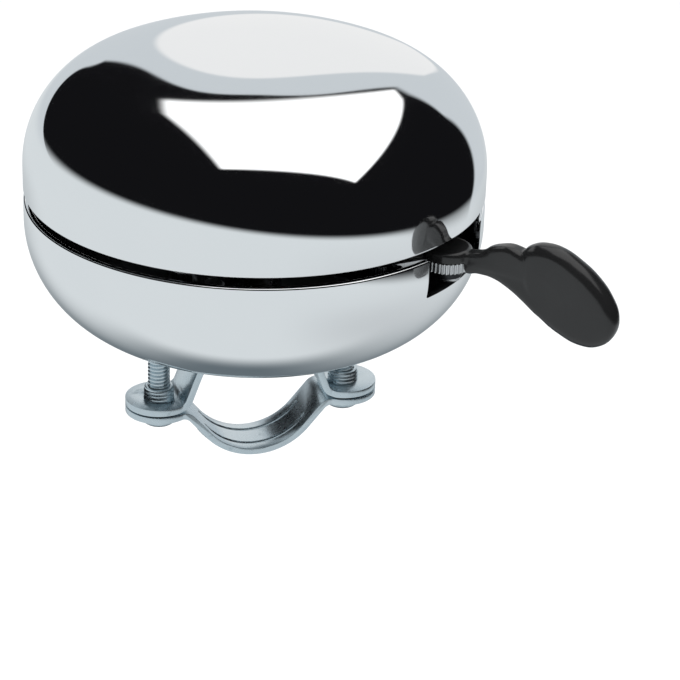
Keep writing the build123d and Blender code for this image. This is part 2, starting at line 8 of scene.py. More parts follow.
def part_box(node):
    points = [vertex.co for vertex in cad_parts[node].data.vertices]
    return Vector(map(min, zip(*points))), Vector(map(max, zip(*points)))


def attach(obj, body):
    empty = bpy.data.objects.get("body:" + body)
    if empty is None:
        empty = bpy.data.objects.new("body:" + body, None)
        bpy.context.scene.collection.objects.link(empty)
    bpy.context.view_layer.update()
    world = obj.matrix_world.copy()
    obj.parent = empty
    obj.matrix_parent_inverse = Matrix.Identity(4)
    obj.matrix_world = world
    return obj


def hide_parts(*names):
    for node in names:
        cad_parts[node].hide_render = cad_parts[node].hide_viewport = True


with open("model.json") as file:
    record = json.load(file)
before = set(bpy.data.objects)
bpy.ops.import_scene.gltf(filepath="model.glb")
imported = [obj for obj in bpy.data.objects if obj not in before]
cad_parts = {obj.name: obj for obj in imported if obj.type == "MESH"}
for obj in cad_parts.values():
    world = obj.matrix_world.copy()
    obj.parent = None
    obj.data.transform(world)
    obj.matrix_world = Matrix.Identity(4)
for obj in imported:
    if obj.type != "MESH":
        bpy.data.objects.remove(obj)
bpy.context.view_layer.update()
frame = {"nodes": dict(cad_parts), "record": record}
nodes = frame["nodes"]
mm = 0.001
bpy.ops.object.select_all(action="DESELECT")


# Lower gong: a bowl of 1.2 mm sheet steel, spun over a former, polished and chrome plated.
# It has a flat base with a hole for the post, and a notch in its rim for the lever.

gong_radius = 40.0
gong_wall = 1.2
rim_round = 0.35
gong_steps = 240
bowl_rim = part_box("bottom_gong")[1].z / mm
bowl_shoulder = 20.0
bowl_straight = 3.5
post_hole = 3.05
notch_length = 16.0
notch_width = 19.6
notch_depth = 6.9
notch_corner = 0.4
notch_easing = 0.15
lever_direction = math.radians(-44)
lever_outward = Vector((math.cos(lever_direction), math.sin(lever_direction), 0))


def arc(centre, radius, start, end, steps):
    """Points in the XZ plane along an arc, from one angle to another in degrees."""
    points = []
    for step in range(steps + 1):
        angle = math.radians(start + (end - start) * step / steps)
        points.append((centre[0] + radius * math.cos(angle), 0, centre[1] + radius * math.sin(angle)))
    return points


def drawn_line(name, points):
    """A line of edges through points in millimetres, left selected in edit mode."""
    bpy.ops.object.select_all(action="DESELECT")
    bpy.ops.mesh.primitive_plane_add(size=mm, location=(0, 0, 0))
    piece = bpy.context.object
    piece.name = name
    piece.data.name = name
    bpy.ops.object.mode_set(mode="EDIT")
    bpy.ops.mesh.select_all(action="SELECT")
    bpy.ops.mesh.merge(type="CENTER")
    bpy.ops.transform.translate(value=Vector(points[0]) * mm)
    for first, second in zip(points, points[1:]):
        step = (Vector(second) - Vector(first)) * mm
        bpy.ops.mesh.extrude_region_move(TRANSFORM_OT_translate={"value": step})
    bpy.ops.mesh.select_all(action="SELECT")
    return piece


def spun(name, points, steps):
    """Spins an outline round the Z axis, as on a lathe, into a closed round piece."""
    piece = drawn_line(name, points)
    bpy.ops.mesh.spin(steps=steps, angle=math.tau, center=(0, 0, 0), axis=(0, 0, 1))
    bpy.ops.mesh.select_all(action="SELECT")
    bpy.ops.mesh.remove_doubles(threshold=0.002 * mm)
    bpy.ops.mesh.normals_make_consistent(inside=False)
    bpy.ops.object.mode_set(mode="OBJECT")
    smooth(piece)
    return piece


def smooth(piece, angle=32):
    """Shades a piece smoothly, apart from its sharp corners."""
    bpy.ops.object.select_all(action="DESELECT")
    bpy.context.view_layer.objects.active = piece
    piece.select_set(True)
    bpy.ops.object.shade_smooth_by_angle(angle=math.radians(angle))


def shaped(piece, kind, **settings):
    """Adds a modifier to a piece, sets it and applies it."""
    bpy.ops.object.select_all(action="DESELECT")
    bpy.context.view_layer.objects.active = piece
    piece.select_set(True)
    modifier = piece.modifiers.new(kind.lower(), kind)
    for key, value in settings.items():
        setattr(modifier, key, value)
    bpy.ops.object.modifier_apply(modifier=modifier.name)


def placed(piece, location=(0, 0, 0), turn=(0, 0, 0), size=(1, 1, 1)):
    """Sizes, turns in degrees and moves a piece in millimetres, all in its mesh."""
    bpy.ops.object.select_all(action="DESELECT")
    bpy.context.view_layer.objects.active = piece
    piece.select_set(True)
    piece.scale = size
    piece.rotation_euler = [math.radians(angle) for angle in turn]
    piece.location = Vector(location) * mm
    bpy.ops.object.transform_apply(location=True, rotation=True, scale=True)
    return piece


def block(name, length, width, height):
    """A block of the given size in millimetres round the origin, to cut or to add."""
    bpy.ops.object.select_all(action="DESELECT")
    bpy.ops.mesh.primitive_cube_add(size=1, location=(0, 0, 0))
    bpy.context.object.name = name
    return placed(bpy.context.object, size=(length * mm, width * mm, height * mm))


def cut(piece, tool, operation="DIFFERENCE"):
    """Cuts a tool out of a piece, or joins it on, and removes the tool."""
    shaped(piece, "BOOLEAN", object=tool, operation=operation, solver="EXACT")
    bpy.data.objects.remove(tool)


def bowl_wall(shrink):
    """The bowl's section from the post hole to the rim, drawn in by an amount."""
    shoulder = bowl_shoulder - shrink
    centre = (gong_radius - bowl_shoulder, bowl_rim - bowl_straight)
    base = centre[1] - shoulder
    flat = [(post_hole + (centre[0] - post_hole) * step / 3, 0, base) for step in range(3)]
    return flat + arc(centre, shoulder, -90, 0, 44)


rim_outer = gong_radius - rim_round
rim_inner = gong_radius - gong_wall + rim_round
bowl_edge = arc((rim_outer, bowl_rim - rim_round), rim_round, 0, 90, 5)
bowl_edge += arc((rim_inner, bowl_rim - rim_round), rim_round, 90, 180, 5)
bowl_section = bowl_wall(0) + bowl_edge + bowl_wall(gong_wall)[::-1] + bowl_wall(0)[:1]
lower_gong = spun("polished_bowl", bowl_section, gong_steps)
notch = block("notch", notch_length, notch_width, 2 * notch_depth)
shaped(notch, "BEVEL", width=notch_corner * mm, segments=3)
placed(notch, (*(lever_outward * gong_radius).xy, bowl_rim), (0, 0, math.degrees(lever_direction)))
cut(lower_gong, notch)
easing = {"width": notch_easing * mm, "segments": 2, "limit_method": "ANGLE"}
shaped(lower_gong, "BEVEL", angle_limit=math.radians(50), **easing)
smooth(lower_gong)


class Tone:
    """A value or colour that varies over a surface, with its arithmetic as Math nodes."""

    def __init__(self, output):
        self.output = output

    def add(self, kind, settings, sockets, out=0):
        """Adds any node: its settings first, then values or links for its sockets."""
        tree = self.output.id_data
        made = tree.nodes.new(kind)
        for key, value in settings.items():
            if key == "stops":
                ramp = made.color_ramp
                for _ in value[2:]:
                    ramp.elements.new(0.5)
                for element, (position, colour) in zip(ramp.elements, value):
                    element.position = position
                    element.color = (*colour, 1)
            else:
                setattr(made, key, value)
        for key, value in sockets.items():
            if isinstance(value, Tone):
                tree.links.new(value.output, made.inputs[key])
            else:
                made.inputs[key].default_value = value
        return Tone(made.outputs[out])

    def sum(self, operation, first, second=0.0):
        return self.add("ShaderNodeMath", {"operation": operation}, {0: first, 1: second})

    def __add__(self, other):
        return self.sum("ADD", self, other)

    __radd__ = __add__

    def __mul__(self, other):
        return self.sum("MULTIPLY", self, other)

    __rmul__ = __mul__

    def __sub__(self, other):
        return self.sum("SUBTRACT", self, other)

    def __rsub__(self, other):
        return self.sum("SUBTRACT", other, self)

    def __truediv__(self, other):
        return self.sum("DIVIDE", self, other)

    def __rtruediv__(self, other):
        return self.sum("DIVIDE", other, self)

    def above(self, limit):
        return self.sum("MAXIMUM", self, limit)

    def step(self, low, high):
        """0 below the lower value, 1 above the higher one, and smooth between."""
        settings = {"interpolation_type": "SMOOTHSTEP"}
        sockets = {"Value": self, "From Min": low, "From Max": high}
        return self.add("ShaderNodeMapRange", settings, sockets)

    def blend(self, first, second):
        """The first colour where this is 0, and the second where it is 1."""
        sockets = {0: self, 6: first, 7: second}
        return self.add("ShaderNodeMix", {"data_type": "RGBA"}, sockets, 2)

    def noise(self, scale, detail=3.0, squeeze=(1, 1, 1)):
        """Cloudy noise on this place, stretched where a squeeze is under 1."""
        where = self.add("ShaderNodeVectorMath", {"operation": "MULTIPLY"}, {0: self, 1: squeeze})
        return self.add("ShaderNodeTexNoise", {}, {"Vector": where, "Scale": scale, "Detail": detail})

    def grooves(self, scale, direction="RINGS", squeeze=(1, 1, 1)):
        """Fine parallel marks, as a tool leaves them."""
        where = self.add("ShaderNodeVectorMath", {"operation": "MULTIPLY"}, {0: self, 1: squeeze})
        settings = {"wave_type": direction, "rings_direction": "Z"}
        sockets = {"Vector": where, "Scale": scale, "Distortion": 1.5, "Detail": 2.0}
        return self.add("ShaderNodeTexWave", settings, sockets, 1)

    def bump(self, strength, height):
        sockets = {"Strength": strength, "Distance": 0.0001, "Height": height}
        return self.add("ShaderNodeBump", {}, sockets)


class Surface:
    """A new material, with the place on the object that its patterns start from."""

    def __init__(self, name, metallic):
        self.material = bpy.data.materials.new(name)
        self.material.use_nodes = True
        self.shader = self.material.node_tree.nodes["Principled BSDF"]
        self.shader.inputs["Metallic"].default_value = metallic
        coordinates = self.material.node_tree.nodes.new("ShaderNodeTexCoord")
        self.place = Tone(coordinates.outputs["Object"])

    def feed(self, **tones):
        """Links varying values to the shader's sockets."""
        for key, tone in tones.items():
            socket = self.shader.inputs[key.replace("_", " ").title()]
            self.material.node_tree.links.new(tone.output, socket)

    def cover(self, piece):
        piece.data.materials.clear()
        piece.data.materials.append(self.material)


chrome = Surface("chrome_plate", 1.0)
wiped = chrome.place.noise(60, 5.0)
polish = chrome.place.noise(900, 4.0)
chrome.feed(
    base_color=wiped.blend((0.90, 0.915, 0.925, 1), (0.935, 0.945, 0.95, 1)),
    roughness=wiped.step(0.45, 0.8) * 0.03 + polish * 0.02 + 0.03,
)

# Inside, the gongs get painted shade: a near-black steel colour, duller and rougher than the chrome.
inside_shade_plate = Surface("painted_shade_inside", 1.0)
spun_marks = inside_shade_plate.place.grooves(1500)
shade_mottle = inside_shade_plate.place.noise(220, 4.0)
# The base colour is painted shade, mottled a little by noise.
inside_shade_plate.feed(
    base_color=shade_mottle.blend((0.060, 0.062, 0.066, 1), (0.115, 0.118, 0.124, 1)),
    roughness=shade_mottle * 0.12 + spun_marks * 0.08 + 0.30,
    normal=inside_shade_plate.place.bump(0.08, spun_marks),
)


def paint_inside_shade(gong, rim):
    """Gives a gong's inward faces, apart from the rounded rim, the near-black finish that paints the
    shade inside.
    """
    gong.data.materials.append(inside_shade_plate.material)
    for face in gong.data.polygons:
        inward = Vector((0, 0, rim)) * mm - face.center
        past_rim = abs(face.center.z / mm - rim) > 1.2 * rim_round
        if past_rim and face.normal.dot(inward) > 0 and face.center.xy.length < rim_inner * mm:
            face.material_index = 1


def fitted(piece, body, surface, slot, *replaced):
    """Gives a new piece its finish, its body and the CAD pieces it stands for."""
    surface.cover(piece)
    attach(piece, body)
    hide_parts(*replaced)


fitted(lower_gong, "base", chrome, "chrome_plate", "bottom_gong")
paint_inside_shade(lower_gong, bowl_rim)


# Upper gong: the striking dome, spun from the same sheet with a flatter crown.
# A threaded boss under the crown screws on the post, so nothing shows outside.

dome_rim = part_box("top_gong")[0].z / mm
dome_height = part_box("top_gong")[1].z / mm - dome_rim
dome_shoulder = 19.0
dome_straight = 4.3


def dome_wall(shrink):
    """The dome's section from crown to rim, drawn in by an amount."""
    shoulder = dome_shoulder - shrink
    height = dome_height - shrink
    reach = gong_radius - dome_shoulder
    drop = dome_straight - height
    crown = (shoulder ** 2 - reach ** 2 - drop ** 2) / (2 * (shoulder + drop))
    crown_centre = height - crown
    join = math.degrees(math.atan2(dome_straight - crown_centre, reach))
    points = arc((0, dome_rim + crown_centre), crown, 90, join, 28)
    return points + arc((reach, dome_rim + dome_straight), shoulder, join, 0, 36)[1:]


dome_edge = arc((rim_outer, dome_rim + rim_round), rim_round, 0, -90, 5)
dome_edge += arc((rim_inner, dome_rim + rim_round), rim_round, -90, -180, 5)
dome_section = dome_wall(0) + dome_edge + dome_wall(gong_wall)[::-1]
upper_gong = spun("polished_dome", dome_section, gong_steps)
fitted(upper_gong, "base", chrome, "chrome_plate", "top_gong")
paint_inside_shade(upper_gong, dome_rim)


# Thumb lever: one black moulding. A round cap covers the steel sector, a thin neck rises
# over a thumb bump, and a thick rounded paddle leans down and out past a cleft.

rim_plane = (bowl_rim + dome_rim) / 2
cap_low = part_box("lever_sector")[1].z / mm + 0.05
cap_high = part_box("lever_sector")[1].z / mm + 2.0
cap_radius = 4.2
cap_round = 0.7
pocket_radius = 2.6
pocket_depth = 1.0
lever_rest = math.degrees(lever_direction) + 2
lever_pivot = lever_outward * 37.4
neck_outline = [
    (3.4, -2.5), (5.0, -1.9), (6.5, -1.5), (7.8, -0.5), (9.6, 0.2), (11.4, 0.5), (13.0, 0.2),
    (17.5, -1.5), (22.0, -4.0), (23.6, -9.4), (20.2, -11.7), (17.2, -10.4), (14.6, -8.6), (11.6, -6.9),
    (8.6, -5.8), (6.2, -5.6), (3.4, -5.7),
]
neck_end = 7.5
neck_thin = 3.0
neck_thick = 4.6
neck_round = 1.3
paddle_outline = [
    (13.9, 0.3), (15.5, 1.6), (17.6, 2.1), (20.4, 1.8), (23.8, 0.2), (26.9, -2.0), (29.6, -5.1),
    (31.0, -8.3), (30.6, -11.5), (28.3, -13.9), (25.0, -14.4), (21.0, -13.1), (18.0, -11.3),
    (15.6, -8.8), (14.0, -5.6), (13.5, -2.4),
]
paddle_thickness = 4.5
paddle_middle = (22.6, -6.4)
paddle_crown = 1.14
paddle_round = 2.0
lever_grid = 0.17


def moulding(name, outline, thickness, edge_round):
    """A plate with a smooth outline and full round edges, standing upright along +X."""
    bpy.ops.object.select_all(action="DESELECT")
    bpy.ops.curve.primitive_bezier_circle_add(radius=mm, location=(0, 0, 0))
    piece = bpy.context.object
    piece.name = name
    line = piece.data
    line.dimensions = "2D"
    line.fill_mode = "BOTH"
    line.resolution_u = 8
    line.splines[0].bezier_points.add(len(outline) - 4)
    for point, (along, level) in zip(line.splines[0].bezier_points, outline):
        point.co = Vector((along, level, 0)) * mm
        point.handle_left_type = "AUTO"
        point.handle_right_type = "AUTO"
    line.extrude = (thickness / 2 - edge_round) * mm
    line.bevel_depth = edge_round * mm
    line.bevel_resolution = 6
    line.offset = -edge_round * mm
    bpy.ops.object.convert(target="MESH")
    return placed(bpy.context.object, (0, 0, rim_plane), (90, 0, 0))


def joined(name, *pieces):
    """Joins pieces into one object."""
    bpy.ops.object.select_all(action="DESELECT")
    for piece in pieces:
        piece.select_set(True)
    bpy.context.view_layer.objects.active = pieces[0]
    bpy.ops.object.join()
    pieces[0].name = name
    pieces[0].data.name = name
    return pieces[0]


paddle = moulding("paddle", paddle_outline, paddle_thickness, paddle_round)
neck = moulding("neck", neck_outline, neck_thick, neck_round)
for vertex in neck.data.vertices:
    vertex.select = vertex.co.x < neck_end * mm
bpy.ops.object.mode_set(mode="EDIT")
bpy.ops.transform.resize(
    value=(1, neck_thin / neck_thick, 1),
    center_override=(0, 0, 0),
    use_proportional_edit=True,
    proportional_edit_falloff="SMOOTH",
    proportional_size=10 * mm,
)
bpy.ops.object.mode_set(mode="OBJECT")
cap_section = [
    (0, 0, cap_low + pocket_depth),
    (pocket_radius, 0, cap_low + pocket_depth),
    (pocket_radius, 0, cap_low),
    (cap_radius, 0, cap_low),
]
cap_section += arc((cap_radius - cap_round, cap_high - cap_round), cap_round, 0, 90, 4)
cap_section += [(0, 0, cap_high)]
cap = spun("cap", cap_section, 64)
web = placed(block("web", 2.6, neck_thin, 1.2), (3.9, 0, cap_low + 0.65))
lever = joined("moulded_lever", paddle, neck, cap, web)
shaped(lever, "REMESH", mode="VOXEL", voxel_size=lever_grid * mm)
shaped(lever, "SMOOTH", factor=0.5, iterations=14)
crown_place = Vector((paddle_middle[0], 0, rim_plane + paddle_middle[1])) * mm
for vertex in lever.data.vertices:
    vertex.select = (vertex.co - crown_place).xz.length < 0.5 * mm
bpy.ops.object.mode_set(mode="EDIT")
bpy.ops.transform.resize(
    value=(1, paddle_crown, 1),
    center_override=crown_place,
    use_proportional_edit=True,
    proportional_edit_falloff="SMOOTH",
    proportional_size=12 * mm,
)
bpy.ops.object.mode_set(mode="OBJECT")
bpy.ops.object.shade_smooth()
placed(lever, lever_pivot, (0, 0, lever_rest))

black_moulding = Surface("black_plastic", 0.0)
handled = black_moulding.place.noise(140, 4.0)
mould_grain = black_moulding.place.noise(2600, 2.0)
black_moulding.feed(
    base_color=handled.blend((0.008, 0.0082, 0.0086, 1), (0.015, 0.0152, 0.0157, 1)),
    roughness=handled * 0.08 + mould_grain * 0.04 + 0.17,
    normal=black_moulding.place.bump(0.05, mould_grain),
)
fitted(lever, "lever", black_moulding, "black_plastic", "thumb_lever")


# Clamp straps: two bands of 1.2 mm strip, pressed round the bar with round ears, zinc plated.
# The upper one has two tapped collars drawn up from it, and the lower one two pressed ribs.

bar_radius = 11.1
strap_wall = 1.2
strap_width = 10.0
strap_edge = 0.22
bend_radius = 1.6
upper_slope = 70
lower_slope = 50
screw_x = (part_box("clamp_screw_right")[0].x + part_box("clamp_screw_right")[1].x) / 2 / mm
ear_radius = 6.0
upper_ear = -2.3
lower_ear = -2.6
collar_bore = 2.05
collar_fit = 0.2
screw_hole = 2.2
post_seat_radius = 3.02
rib_radius = 0.5
rib_offset = 2.6


def strap_side(slope, level, outside):
    """One surface of a strap from its crown past the ear: arc, leg, bend and flat end."""
    radius = bar_radius + outside
    bend = bend_radius + strap_wall - outside
    leg = math.radians(slope)
    high = level + bend_radius + strap_wall
    centre_x = (bar_radius + bend_radius + strap_wall - high * math.cos(leg)) / math.sin(leg)
    half = arc((0, 0), radius, 90, 90 - slope, 20)
    half += arc((centre_x, high), bend, 270 - slope, 270, 8)
    return half + [(screw_x + ear_radius + 1, 0, level + outside)]


def strap_blank():
    """The strap's flat outline seen from above: a strip between two round ears."""
    sweep = 180 - math.degrees(math.asin(strap_width / 2 / ear_radius))
    outline = arc((screw_x, 0), ear_radius, -sweep, sweep, 56)
    outline += arc((-screw_x, 0), ear_radius, 180 - sweep, 180 + sweep, 56)
    blank = drawn_line("blank", outline)
    bpy.ops.mesh.edge_face_add()
    bpy.ops.mesh.extrude_region_move(TRANSFORM_OT_translate={"value": (0, 4 * bar_radius * mm, 0)})
    bpy.ops.mesh.select_all(action="SELECT")
    bpy.ops.mesh.normals_make_consistent(inside=False)
    bpy.ops.object.mode_set(mode="OBJECT")
    return placed(blank, (0, 0, -2 * bar_radius), (90, 0, 0))


def closed(piece):
    """Merges a piece's doubled corners and turns its faces outward."""
    bpy.ops.object.select_all(action="DESELECT")
    bpy.context.view_layer.objects.active = piece
    piece.select_set(True)
    bpy.ops.object.mode_set(mode="EDIT")
    bpy.ops.mesh.select_all(action="SELECT")
    bpy.ops.mesh.remove_doubles(threshold=0.002 * mm)
    bpy.ops.mesh.normals_make_consistent(inside=False)
    bpy.ops.object.mode_set(mode="OBJECT")


def pressed_strap(name, slope, level):
    """A strap above the bar: a bent strip with round ears, not yet drilled."""
    inner = strap_side(slope, level, 0)
    outer = strap_side(slope, level, strap_wall)
    right = inner + outer[::-1]
    left = [(-x, 0, z) for x, _, z in outer[1:] + inner[:0:-1]]
    corners = [(x, -ear_radius - 1, z) for x, _, z in right + left]
    strip = drawn_line(name, corners)
    bpy.ops.mesh.edge_face_add()
    bpy.ops.mesh.extrude_region_move(TRANSFORM_OT_translate={"value": (0, (2 * ear_radius + 2) * mm, 0)})
    bpy.ops.mesh.select_all(action="SELECT")
    bpy.ops.mesh.normals_make_consistent(inside=False)
    bpy.ops.object.mode_set(mode="OBJECT")
    cut(strip, strap_blank(), "INTERSECT")
    return strip


def ring_piece(name, outer, inner, low, high, steps):
    """A disc, or a ring where the inner radius isn't 0, between two levels."""
    section = [(inner, 0, low), (outer, 0, low), (outer, 0, high), (inner, 0, high)]
    if inner:
        section.append(section[0])
    return spun(name, section, steps)


def drilled(piece, radius):
    """Drills both screw holes through a strap."""
    for side in (-1, 1):
        drill = ring_piece("drill", radius, 0, -bar_radius, bar_radius, 48)
        cut(piece, placed(drill, (side * screw_x, 0, 0)))


upper_strap = pressed_strap("upper_clamp_strap", upper_slope, upper_ear)
drilled(upper_strap, collar_bore + collar_fit)
shaped(upper_strap, "BEVEL", width=strap_edge * mm, segments=2, limit_method="ANGLE")
collar_section = [
    (collar_bore, 0, -2.25), (2.35, 0, -2.25), (2.75, 0, -1.3), (2.72, 0, -0.95), (2.5, 0, -0.75),
    (2.73, 0, -0.5), (2.73, 0, -0.25), (2.46, 0, -0.02), (2.7, 0, 0.2), (2.7, 0, 0.42),
    (2.45, 0, 0.62), (2.6, 0, 0.8), (2.55, 0, 1.0), (2.35, 0, 1.1), (collar_bore, 0, 1.1),
]
collars = []
for side in (-1, 1):
    collar = spun("collar", collar_section + collar_section[:1], 48)
    collars.append(placed(collar, (side * screw_x, 0, 0)))
crown = bar_radius + strap_wall / 2
post_seat = ring_piece("post_seat", post_seat_radius, 0, crown - strap_wall, crown + strap_wall, 48)
cut(upper_strap, post_seat)
closed(upper_strap)
smooth(upper_strap)
joined("upper_clamp_strap", upper_strap, *collars)

lower_strap = pressed_strap("lower_clamp_strap", lower_slope, -lower_ear)
placed(lower_strap, turn=(180, 0, 0))
drilled(lower_strap, screw_hole)


def pressed_rib(radius, offset, reach):
    """A rib or groove bent round the bar under the strap, one rib wide."""
    bpy.ops.object.select_all(action="DESELECT")
    centre = (0, offset * mm, -reach * mm)
    bpy.ops.mesh.primitive_circle_add(vertices=16, radius=radius * mm, location=centre)
    rib = bpy.context.object
    bpy.ops.object.mode_set(mode="EDIT")
    bpy.ops.mesh.select_all(action="SELECT")
    bpy.ops.transform.rotate(value=math.pi / 2, orient_axis="Y", center_override=centre)
    half = math.radians(lower_slope + 6)
    bpy.ops.transform.rotate(value=-half, orient_axis="Y", center_override=(0, 0, 0))
    bpy.ops.mesh.edge_face_add()
    bpy.ops.mesh.spin(steps=32, angle=2 * half, center=(0, 0, 0), axis=(0, 1, 0))
    bpy.ops.mesh.select_all(action="SELECT")
    bpy.ops.mesh.normals_make_consistent(inside=False)
    bpy.ops.object.mode_set(mode="OBJECT")
    return rib


shaped(lower_strap, "BEVEL", width=strap_edge * mm, segments=2, limit_method="ANGLE")
for offset in (-rib_offset, rib_offset):
    cut(lower_strap, pressed_rib(rib_radius, offset, bar_radius + strap_wall), "UNION")
    cut(lower_strap, pressed_rib(rib_radius, offset, bar_radius))
closed(lower_strap)
smooth(lower_strap)

zinc = Surface("zinc_plate", 1.0)
passivation = zinc.place.noise(170, 4.0)
crystals = zinc.place.noise(1400, 3.0)
stains = zinc.place.noise(420, 5.0)
zinc_tone = passivation.blend((0.50, 0.60, 0.66, 1), (0.72, 0.79, 0.82, 1))
zinc.feed(
    base_color=stains.step(0.62, 0.75).blend(zinc_tone, (0.42, 0.50, 0.54, 1)),
    roughness=passivation * 0.14 + crystals * 0.10 + 0.16,
    normal=zinc.place.bump(0.12, crystals + stains * 0.8),
)
fitted(upper_strap, "base", zinc, "zinc_plate", "upper_strap")
fitted(lower_strap, "lower_clamp", zinc, "zinc_plate", "lower_strap")


# Clamp screws: two M4 pan-head machine screws with a rolled thread and a cross recess.
# Zinc plated like the straps, they go up through both ears into the collars.

thread_pitch = 0.7
thread_crest = 1.98
thread_root = 1.58
thread_lead = 2.3
tip_taper = 0.82
head_radius = 3.3
head_height = 2.4
recess_length = 4.2
recess_width = 1.0
recess_depth = 1.3
recess_round = 0.3
recess_turn = 20
head_edge = 0.12
screw_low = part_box("clamp_screw_left")[0].z / mm
screw_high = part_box("clamp_screw_left")[1].z / mm
head_seat = screw_low + head_height


def rolled_thread():
    """One threaded shank on the Z axis, cut flat at both ends."""
    flank = [
        (thread_root, 0, 0),
        (thread_root, 0, thread_pitch * 0.14),
        (thread_crest, 0, thread_pitch * 0.44),
        (thread_crest, 0, thread_pitch * 0.70),
        (thread_root, 0, thread_pitch),
    ]
    low = head_seat - 0.5
    turns = math.ceil((screw_high - low) / thread_pitch) + 4
    shank = drawn_line("shank", [(x, y, z + low - thread_lead * thread_pitch) for x, y, z in flank])
    bpy.ops.object.mode_set(mode="OBJECT")
    settings = {"steps": 28, "render_steps": 28, "screw_offset": thread_pitch * mm}
    shaped(shank, "SCREW", iterations=turns, use_merge_vertices=True, **settings)
    bpy.ops.object.mode_set(mode="EDIT")
    bpy.ops.mesh.select_all(action="SELECT")
    bpy.ops.mesh.remove_doubles(threshold=0.002 * mm)
    for level, keep_above in ((low, True), (screw_high, False)):
        bpy.ops.mesh.select_all(action="SELECT")
        plane = {"plane_co": (0, 0, level * mm), "plane_no": (0, 0, 1)}
        bpy.ops.mesh.bisect(**plane, clear_inner=keep_above, clear_outer=not keep_above)
    bpy.ops.mesh.select_all(action="SELECT")
    bpy.ops.mesh.fill_holes(sides=0)
    bpy.ops.mesh.select_all(action="DESELECT")
    bpy.ops.object.mode_set(mode="OBJECT")
    for vertex in shank.data.vertices:
        vertex.select = vertex.co.z > (screw_high - thread_pitch / 2) * mm
    bpy.ops.object.mode_set(mode="EDIT")
    tip = (0, 0, screw_high * mm)
    bpy.ops.transform.resize(value=(tip_taper, tip_taper, 1), center_override=tip)
    bpy.ops.object.mode_set(mode="OBJECT")
    closed(shank)
    smooth(shank)
    return shank


def pan_head():
    """A pan head with a rounded lower edge and a tapered cross recess."""
    dome = head_height * 0.6
    section = [(0, 0, screw_low), (head_radius - dome * 1.25, 0, screw_low)]
    section += [
        (head_radius - dome + dome * math.sin(turn), 0, screw_low + dome - dome * math.cos(turn))
        for turn in [math.radians(step * 15) for step in range(1, 7)]
    ]
    section += [(head_radius, 0, head_seat - head_edge), (head_radius - head_edge, 0, head_seat)]
    section += [(0, 0, head_seat)]
    head = spun("head", section, 64)
    for turn in (0, 90):
        slot = block("recess", recess_length, recess_width, 2 * recess_depth)
        shaped(slot, "BEVEL", width=recess_round * mm, segments=2)
        cut(head, placed(slot, (0, 0, screw_low), (0, 0, turn + recess_turn)))
    closed(head)
    smooth(head)
    return head


screw_master = joined("clamp_screw", rolled_thread(), pan_head())
for side, name in ((-1, "left"), (1, "right")):
    screw = screw_master
    if side < 0:
        screw = screw_master.copy()
        screw.data = screw_master.data.copy()
        bpy.context.scene.collection.objects.link(screw)
    screw.name = "threaded_screw_" + name
    placed(screw, (side * screw_x, 0, 0))
    fitted(screw, "screw_" + name, zinc, "zinc_plate", "clamp_screw_" + name)


# Movement: blanked steel gears, a turned post and nuts, riveted pins, a brass bush, fibre
# washers and a moulded saddle. Each keeps its own finish from the stock it is made of.

bright_steel = Surface("bright_steel", 1.0)
turning = bright_steel.place.grooves(2200)
steel_cloud = bright_steel.place.noise(260, 4.0)
bright_steel.feed(
    base_color=steel_cloud.blend((0.56, 0.57, 0.58, 1), (0.74, 0.745, 0.75, 1)),
    roughness=steel_cloud * 0.12 + turning * 0.08 + 0.20,
    normal=bright_steel.place.bump(0.05, turning),
)

spring_steel = Surface("spring_steel", 1.0)
drawing = spring_steel.place.noise(1800, 3.0, (1, 1, 0.15))
temper = spring_steel.place.noise(200, 3.0)
spring_steel.feed(
    base_color=temper.blend((0.30, 0.32, 0.36, 1), (0.52, 0.54, 0.57, 1)),
    roughness=drawing * 0.16 + 0.22,
    normal=spring_steel.place.bump(0.08, drawing),
)

dark_plate = Surface("dark_plate", 1.0)
phosphate = dark_plate.place.noise(2400, 4.0)
oil = dark_plate.place.noise(120, 3.0)
dark_plate.feed(
    base_color=oil.blend((0.030, 0.032, 0.035, 1), (0.075, 0.078, 0.082, 1)),
    roughness=phosphate * 0.18 + oil * 0.12 + 0.30,
    normal=dark_plate.place.bump(0.15, phosphate),
)

gear_steel = Surface("gear_steel", 1.0)
blanking = gear_steel.place.noise(900, 4.0)
grease = gear_steel.place.noise(160, 3.0)
gear_steel.feed(
    base_color=grease.step(0.4, 0.7).blend((0.58, 0.57, 0.54, 1), (0.38, 0.36, 0.32, 1)),
    roughness=blanking * 0.22 + 0.20,
    normal=gear_steel.place.bump(0.10, blanking),
)

brass = Surface("brass", 1.0)
brass_turning = brass.place.grooves(2600)
tarnish = brass.place.noise(300, 4.0)
brass.feed(
    base_color=tarnish.step(0.35, 0.75).blend((0.80, 0.60, 0.28, 1), (0.50, 0.34, 0.15, 1)),
    roughness=tarnish * 0.15 + brass_turning * 0.08 + 0.18,
    normal=brass.place.bump(0.06, brass_turning),
)

fibre = Surface("fibre", 0.0)
pulp = fibre.place.noise(1600, 5.0)
fibre_cloud = fibre.place.noise(300, 4.0)
fibre.feed(
    base_color=(fibre_cloud * 0.6 + pulp * 0.4).blend((0.16, 0.035, 0.022, 1), (0.34, 0.10, 0.06, 1)),
    roughness=pulp * 0.25 + 0.50,
    normal=fibre.place.bump(0.25, pulp),
)

grey_moulding = Surface("grey_plastic", 0.0)
flow = grey_moulding.place.noise(220, 3.0)
spark = grey_moulding.place.noise(2400, 2.0)
grey_moulding.feed(
    base_color=flow.blend((0.20, 0.205, 0.21, 1), (0.29, 0.295, 0.30, 1)),
    roughness=spark * 0.15 + 0.40,
    normal=grey_moulding.place.bump(0.12, spark),
)

